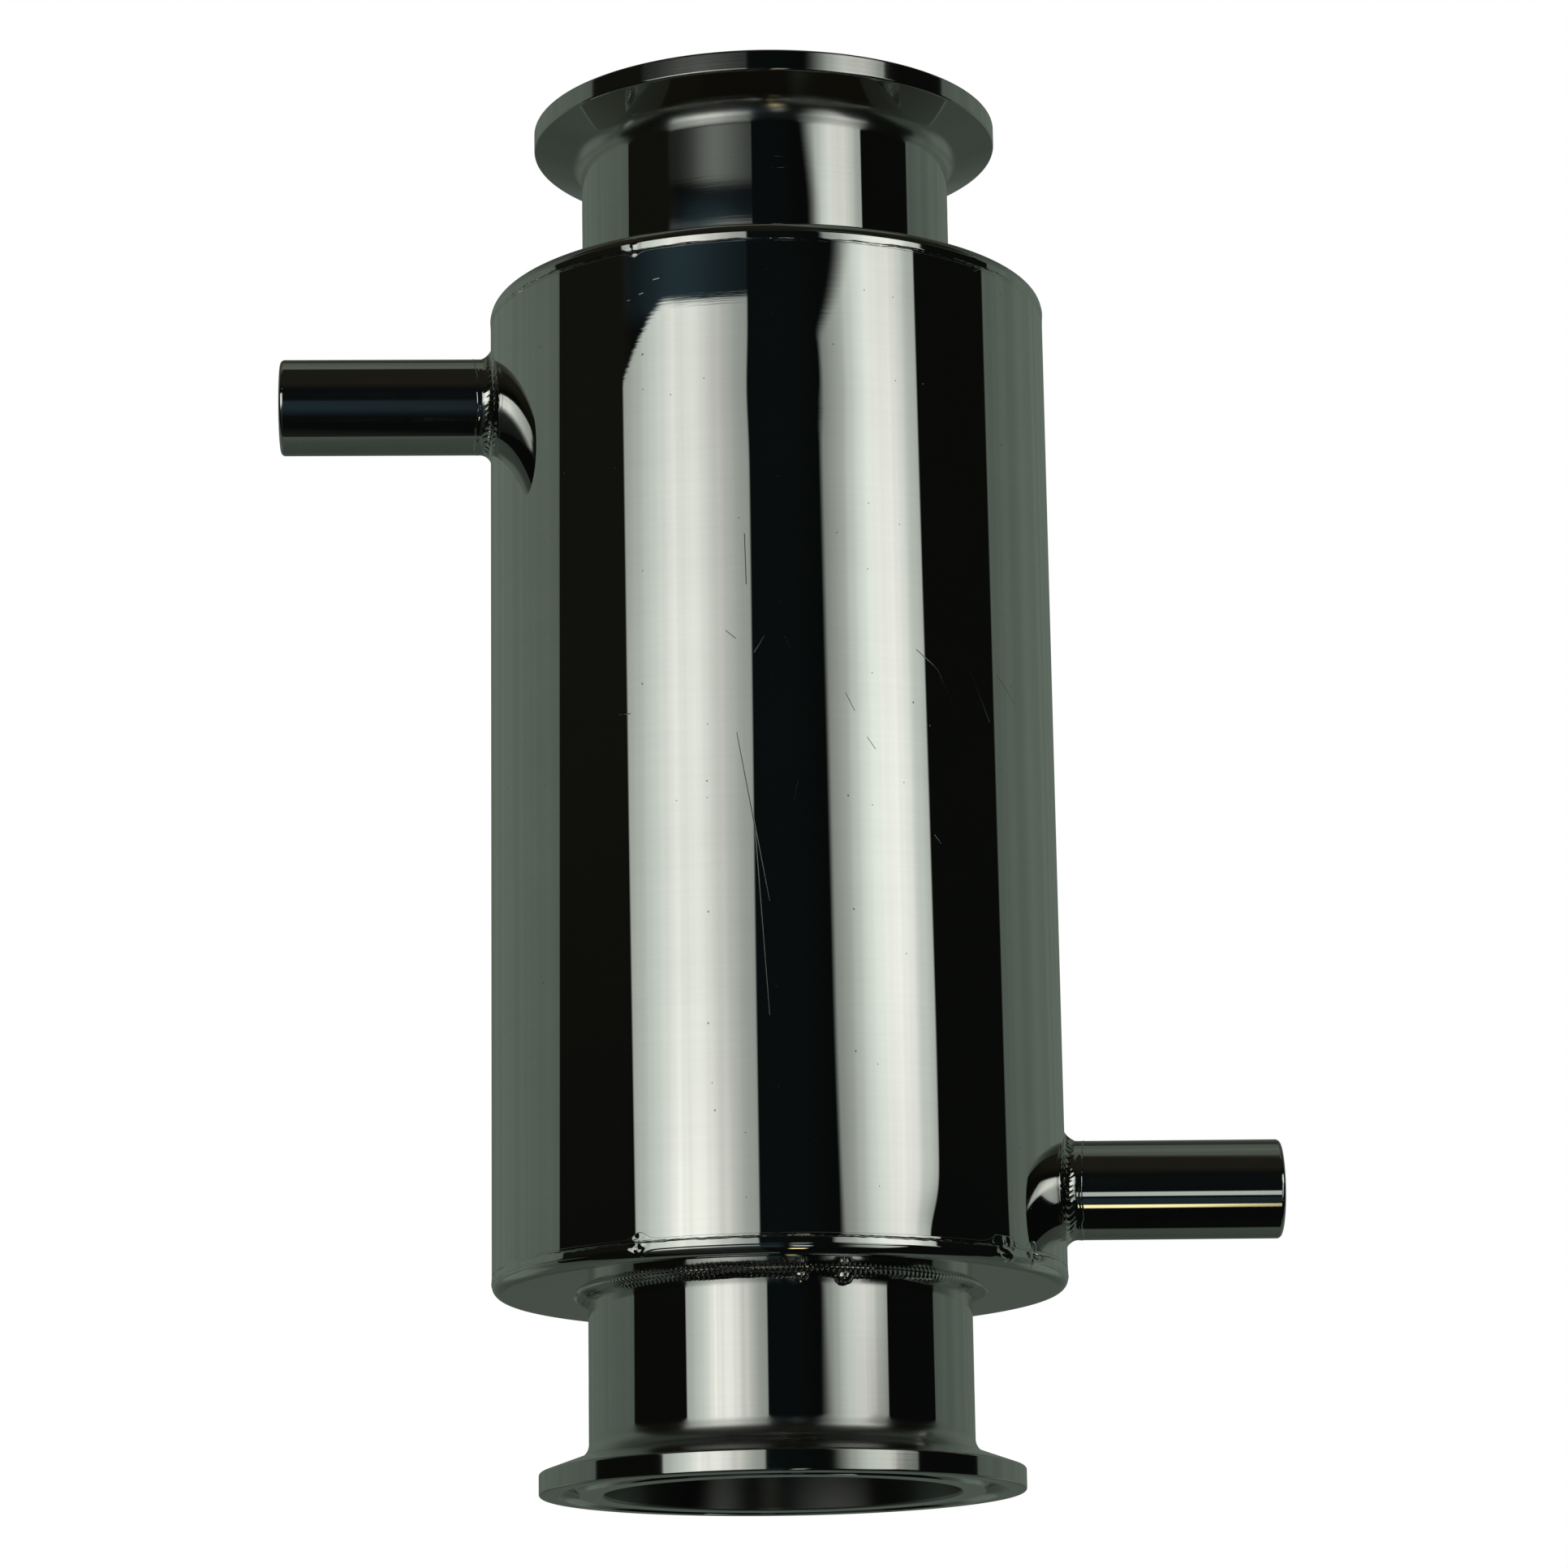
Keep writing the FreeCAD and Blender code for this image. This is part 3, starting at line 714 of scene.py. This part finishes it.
def rounded(corners):
    """The outline through (radius, height, rounding) corners, as (radius, height) points."""
    points = []
    for i, (r, z, rounding) in enumerate(corners):
        here = Vector((r, z))
        if not rounding:
            points.append(here)
            continue
        back = (Vector(corners[i - 1][:2]) - here).normalized()
        on = (Vector(corners[(i + 1) % len(corners)][:2]) - here).normalized()
        half = back.angle(on) / 2
        run = rounding / math.tan(half)
        centre = here + (back + on).normalized() * (rounding / math.sin(half))
        first, last = here + back * run - centre, here + on * run - centre
        points.append(here + back * (run + ROUNDING_MARGIN))
        for j in range(ROUNDING_STEPS + 1):
            points.append(centre + first.slerp(last, j / ROUNDING_STEPS).normalized() * rounding)
        points.append(here + on * (run + ROUNDING_MARGIN))
    return points


def turned_piece(name, outline, end, material, replaced):
    """A piece turned about Z, from its outline at the lower end. The upper one is the lower one turned over."""
    heights = [z * MM if end == "bottom" else LENGTH - z * MM for _, z in outline]
    radii = [r * MM for r, _ in outline]
    sections = []
    for i in range(TURNED_SECTIONS):
        angle = math.tau * i / TURNED_SECTIONS
        spoke = Vector((math.cos(angle), math.sin(angle), 0.0))
        sections.append([spoke * r + Vector((0.0, 0.0, z)) for r, z in zip(radii, heights)])
    sweep(name, sections, material, replaced, sharp=TURNED_SHARP)


def groove():
    """The gasket groove's hollow between its two edges, as sharp corners of the outline."""
    radius = (GROOVE_HALF_WIDTH**2 + GROOVE_DEPTH**2) / (2 * GROOVE_DEPTH)
    half_angle = math.asin(GROOVE_HALF_WIDTH / radius)
    points = []
    for i in range(1, GROOVE_STEPS):
        angle = half_angle * (2 * i / GROOVE_STEPS - 1)
        height = GROOVE_DEPTH - radius + radius * math.cos(angle)
        points.append((GROOVE_CIRCLE + radius * math.sin(angle), height, 0.0))
    return points


def ferrule(end, material):
    """The weld ferrule with evenly meshed roundings, so that its reflections are clean."""
    tube, bore = TUBE_R / MM, BORE_R / MM
    outline = rounded([
        (bore, FERRULE_LENGTH, 0.0),
        (bore, 0.0, MOUTH_ROUND),
        (GROOVE_CIRCLE - GROOVE_HALF_WIDTH, 0.0, 0.0),
        *groove(),
        (GROOVE_CIRCLE + GROOVE_HALF_WIDTH, 0.0, 0.0),
        (RIM_RADIUS, 0.0, RIM_ROUND),
        (RIM_RADIUS, RIM_HEIGHT, RIM_ROUND),
        (tube, CONE_TOP, NECK_FILLET),
        (tube, FERRULE_LENGTH, 0.0),
    ])
    turned_piece(f"turned_ferrule_{end}", outline, end, material, f"ferrule_{end}")


def end_ring(end, material):
    """The ring that closes the jacket, with an evenly meshed rounding."""
    tube, jacket = TUBE_R / MM, JACKET_R / MM
    outline = rounded([
        (tube, RING_OUTER, 0.0),
        (jacket, RING_OUTER, RING_ROUND),
        (jacket, RING_BEVEL_FROM, 0.0),
        (jacket - RING_BEVEL, RING_INNER, 0.0),
        (tube, RING_INNER, 0.0),
    ])
    turned_piece(f"turned_ring_{end}", outline, end, material, f"end_ring_{end}")


# ---------------------------------------------------------------- weld beads
# Sizes are in millimetres unless MM is named. A size that varies round a circle is its mean and then its
# noises, each as (amount, swings round the circle, number).
WANDER_GAIN, WANDER_SPACING = 1.6, 7.3
# a weld pool's bow at its edges, the share of it that rises, and its uneven size
POOL_BOW, POOL_RISE = 0.9, 0.75
POOL_SIZE, POOL_SPREAD = 0.65, 0.35
POOL_SHUFFLE, SEED_SHUFFLE = 12.9898, 31.7

# the neck's bead: its pitch, its legs on the tube and on the ring, and its crown with the ripples on it
NECK_SECTIONS, NECK_STEPS = 1600, 20
NECK_PITCH = 0.68 * MM
NECK_DOWN = (1.05, (0.14, 26, 0), (0.10, 90, 1))
NECK_SIDE = (1.90, (0.16, 22, 2))
NECK_CROWN, NECK_RIPPLE = 0.12, 0.26
NECK_BULGE_OUT, NECK_BULGE_DOWN = 0.6, 0.8
NECK_BURIED = 0.15
# drops of metal at the bead's lower toe, as (azimuth, radius), and their place and height on it
NECK_DROPS = {"bottom": [(6.0, 0.9), (18.6, 1.2)], "top": []}
DROP_AT, DROP_SPAN, DROP_HEIGHT = 0.12, 2.0, 0.9

# the stub's bead: its pitch at a distance from the stub, its legs on the stub and on the jacket, how far its
# ripples stray, and its hollow with the ripples on it
STUB_SECTIONS, STUB_STEPS = 800, 16
STUB_PITCH, STUB_PITCH_AT = 0.96 * MM, 0.8 * MM
STUB_ALONG = (1.35, (0.14, 9, 0), (0.10, 34, 1))
STUB_SIDE = (1.30, (0.15, 11, 2))
STUB_SHIFT = (0.40, 16, 5)
STUB_HOLLOW, STUB_RIPPLE, STUB_BULGE = -0.32, 0.16, 0.7
STUB_BURIED, STUB_TOE, STUB_FOOT = 0.15, 0.02, 0.25
# the fine line beyond the bead's toe: how far it lies, more so at the top, its height, and its foot
LINE_BEYOND, LINE_BEYOND_TOP = 0.75, 0.5
LINE_SWAY = (0.1, 14, 3)
LINE_HEIGHT = (0.035, (0.02, 60, 4))
LINE_HALF_WIDTH, LINE_SUNK, LINE_SKIN, LINE_GAP = 0.25, 0.02, 0.005, 0.12

# the seam: its size, its straight part, its crest towards the end and the undercut line on its other side
SEAM_SECTIONS, SEAM_STEPS = 2000, 40
SEAM_HALF_WIDTH, SEAM_WIDEST, SEAM_DEPTH = 0.80, 1.85, 0.4
SEAM_EDGE, SEAM_ROOT = 0.60, 0.3
CREST_AT, CREST_POWER, CREST_SUNK = 0.50, 1.5, 0.03
CREST_HEIGHT = 0.055
CREST_SWAY = (1, (0.35, 12, 6))  # multiplies the height
UNDERCUT_AT = (-0.45, (0.12, 18, 0), (0.10, 60, 1), (0.05, 220, 2))
UNDERCUT_DEPTH = (0.085, (0.05, 50, 3), (0.02, 300, 5))
UNDERCUT_LEAST = 0.03
UNDERCUT_WIDTH = (0.085, (0.02, 110, 4))
# uneven places left on the seam, as (azimuth, radius), and how they widen and lift it
SEAM_SCARS = {"bottom": [(-27.5, 1.2), (48.6, 2.2), (59.0, 1.4)], "top": [(-27.0, 0.9), (47.0, 0.6)]}
SCAR_WIDENS, SCAR_LIFTS, SCAR_LEAST, SCAR_LUMPS = 0.75, 0.16, 0.10, 0.9
LUMPS_AROUND, LUMPS_ACROSS = 30.0, 0.9


def wander(angle, swings, seed):
    """Smooth noise round a circle, about -1 to 1, with that many swings."""
    reach = swings / math.tau
    at = Vector((reach * math.cos(angle), reach * math.sin(angle), WANDER_SPACING * seed))
    return WANDER_GAIN * noise.noise(at)


def varied(angle, seed, mean, *noises):
    """A varying size at an angle."""
    size = mean
    for amount, swings, number in noises:
        size += amount * wander(angle, swings, seed + number)
    return size


def apart(angle, azimuth, radius):
    """The distance round a circle from a place seen at that azimuth, in millimetres."""
    turn = (angle - facing(azimuth) + math.pi) % math.tau - math.pi
    return turn * radius / MM


def ripple(turns, across, seed):
    """One weld pool after another: a slow rise and a steep fall, each bowed back at its edges."""
    phase = turns + POOL_BOW * (2 * across - 1) ** 2
    index = math.floor(phase)
    share = phase - index
    size = POOL_SIZE + POOL_SPREAD * math.sin(POOL_SHUFFLE * (index + SEED_SHUFFLE * seed))
    rise = share / POOL_RISE if share < POOL_RISE else (1 - share) / (1 - POOL_RISE)
    return size * rise * rise * (3 - 2 * rise)


def ball(along, across, radius):
    """The height of a ball's top half above its middle."""
    left = radius**2 - along**2 - across**2
    return math.sqrt(left) if left > 0 else 0.0


def stood_up(angle, radius, level, out, section):
    """A section's (outwards, towards the end) points in millimetres, as places round the part."""
    spoke = Vector((math.cos(angle), math.sin(angle), 0.0))
    return [spoke * (radius + a * MM) + Vector((0.0, 0.0, level + out * b * MM)) for a, b in section]


def toward_end(end):
    """The sign of Z towards that end of the part."""
    return -1.0 if end == "bottom" else 1.0


def neck_bead(end, seed, material):
    """The rippled fillet weld between an end ring and the product tube, with its drops."""
    ripples = round(math.tau * TUBE_R / NECK_PITCH)
    sections = []
    for i in range(NECK_SECTIONS):
        angle = math.tau * i / NECK_SECTIONS
        down = varied(angle, seed, *NECK_DOWN)
        side = varied(angle, seed, *NECK_SIDE)
        section = []
        for j in range(NECK_STEPS + 1):
            s = j / NECK_STEPS
            lift = math.sqrt(4 * s * (1 - s))
            bulge = lift * (NECK_CROWN + NECK_RIPPLE * ripple(ripples * i / NECK_SECTIONS, s, seed))
            for azimuth, radius in NECK_DROPS[end]:
                drop = ball(apart(angle, azimuth, TUBE_R), (s - DROP_AT) * DROP_SPAN, radius)
                bulge = max(bulge, DROP_HEIGHT * drop)
            section.append((s * side + bulge * NECK_BULGE_OUT, (1 - s) * down + bulge * NECK_BULGE_DOWN))
        section += [(side, -NECK_BURIED), (-NECK_BURIED, -NECK_BURIED), (-NECK_BURIED, down)]
        sections.append(stood_up(angle, TUBE_R, RING_FACE[end], toward_end(end), section))
    sweep(f"neck_bead_{end}", sections, material, f"weld_neck_{end}")


def stub_bead(stub, seed, material):
    """The rippled hollow fillet weld between a stub and the jacket, with a fine line beyond its toe."""
    turn = 1.0 if stub == "lower" else -1.0
    ripples = round(math.tau * (STUB_R + STUB_PITCH_AT) / STUB_PITCH)
    inside = STUB_R - STUB_BURIED * MM
    sections = []
    for i in range(STUB_SECTIONS):
        angle = math.tau * i / STUB_SECTIONS
        cos, sin = math.cos(angle), math.sin(angle)
        along = varied(angle, seed, *STUB_ALONG)
        line_at = along + varied(angle, seed, LINE_BEYOND + LINE_BEYOND_TOP * max(0.0, sin) ** 2, LINE_SWAY)
        foot_r = STUB_R + varied(angle, seed, *STUB_SIDE) * MM
        toe = math.sqrt(JACKET_R**2 - (STUB_R * cos) ** 2)
        foot = math.sqrt(JACKET_R**2 - (foot_r * cos) ** 2)
        turns = varied(angle, seed, ripples * i / STUB_SECTIONS, STUB_SHIFT)
        section = [
            (toe + (line_at + LINE_HALF_WIDTH) * MM, STUB_R - LINE_SUNK * MM),
            (toe + line_at * MM, STUB_R + varied(angle, seed, *LINE_HEIGHT) * MM),
            (toe + (line_at - LINE_HALF_WIDTH) * MM, STUB_R + LINE_SKIN * MM),
            (toe + (along + LINE_GAP) * MM, STUB_R + LINE_SKIN * MM),
        ]
        for j in range(STUB_STEPS + 1):
            s = j / STUB_STEPS
            bulge = 4 * s * (1 - s) * (STUB_HOLLOW + STUB_RIPPLE * ripple(turns, s, seed)) * STUB_BULGE * MM
            x = (1 - s) * (toe + along * MM) + s * foot + bulge
            r = (1 - s) * (STUB_R + STUB_TOE * MM) + s * foot_r + bulge
            section.append((x, r))
        section += [(foot - STUB_FOOT * MM, foot_r), (toe - STUB_FOOT * MM, inside), (toe + along * MM, inside)]
        sections.append([Vector((turn * x, turn * r * cos, STUB_Z[stub] + r * sin)) for x, r in section])
    sweep(f"stub_bead_{stub}", sections, material, f"weld_stub_{stub}")


def scarring(end, angle):
    """How strongly the scars near an angle act."""
    strength = 0
    for azimuth, radius in SEAM_SCARS[end]:
        strength += math.exp(-((apart(angle, azimuth, JACKET_R) / radius) ** 2)) * radius
    return strength


def seam(end, seed, material):
    """The ground seam between the shell and an end ring, with a ragged undercut line.

    Heights run from the seam's middle towards the end, over the ring's straight edge and its rounding.
    """
    sections = []
    for i in range(SEAM_SECTIONS):
        angle = math.tau * i / SEAM_SECTIONS
        line = varied(angle, seed, *UNDERCUT_AT)
        deep = max(UNDERCUT_LEAST, varied(angle, seed, *UNDERCUT_DEPTH))
        wide = varied(angle, seed, *UNDERCUT_WIDTH)
        rise = CREST_HEIGHT * varied(angle, seed, *CREST_SWAY)
        scarred = scarring(end, angle)
        half = min(SEAM_WIDEST, SEAM_HALF_WIDTH + SCAR_WIDENS * scarred)
        section = []
        for j in range(SEAM_STEPS + 1):
            z = (2 * j / SEAM_STEPS - 1) * half
            if z < CREST_AT:
                lift = rise * max(0.0, (z - line) / (CREST_AT - line))
            else:
                lift = rise - (rise + CREST_SUNK) * ((z - CREST_AT) / (half - CREST_AT)) ** CREST_POWER
            lift -= deep * math.exp(-(((z - line) / wide) ** 2))
            bumps = noise.noise(Vector((angle * LUMPS_AROUND, z * LUMPS_ACROSS, seed)))
            lift += SCAR_LIFTS * scarred * (SCAR_LEAST + SCAR_LUMPS * bumps) * (1 - (z / half) ** 2)
            lift -= RING_ROUND - math.sqrt(RING_ROUND**2 - max(0.0, z - SEAM_EDGE) ** 2)
            section.append((lift, z))
        root = SEAM_HALF_WIDTH * SEAM_ROOT
        section += [(-SEAM_DEPTH, root), (-SEAM_DEPTH, -root)]
        sections.append(stood_up(angle, JACKET_R, SEAM_Z[end], toward_end(end), section))
    sweep(f"seam_{end}", sections, material, f"weld_seam_{end}")


# ---------------------------------------------------------------- the scene
add_camera()
add_studio()
add_floor()
jacket_steel = steel("polished_jacket", roughness=0.006, wear=jacket_wear)
tube_steel = steel("polished_tube", roughness=0.008, shine=0.90, grain=0.0002, waviness=0.02, wear=tube_wear)
ring_steel = steel("polished_ring", roughness=0.03, waviness=0.02, wear=ring_wear)
stub_steel = steel("polished_stub", roughness=0.045, axis="X", grain=0.00012, waviness=0.0)
bead_steel = steel("bead_steel", roughness=0.03, waviness=0.0)
for node_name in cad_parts:
    if node_name.startswith("stub"):
        dress(node_name, stub_steel)
    elif node_name.startswith(("ferrule", "inner", "weld_ferrule")):
        dress(node_name, tube_steel)
    elif node_name.startswith("jacket"):
        dress(node_name, jacket_steel)
    else:
        dress(node_name, ring_steel)
for end_name in ENDS:
    ferrule(end_name, tube_steel)
    end_ring(end_name, ring_steel)
neck_bead("bottom", 1, bead_steel)
neck_bead("top", 11, bead_steel)
stub_bead("lower", 21, bead_steel)
stub_bead("upper", 31, bead_steel)
seam("bottom", 41, bead_steel)
seam("top", 51, bead_steel)

scene.view_settings.view_transform = "Standard"
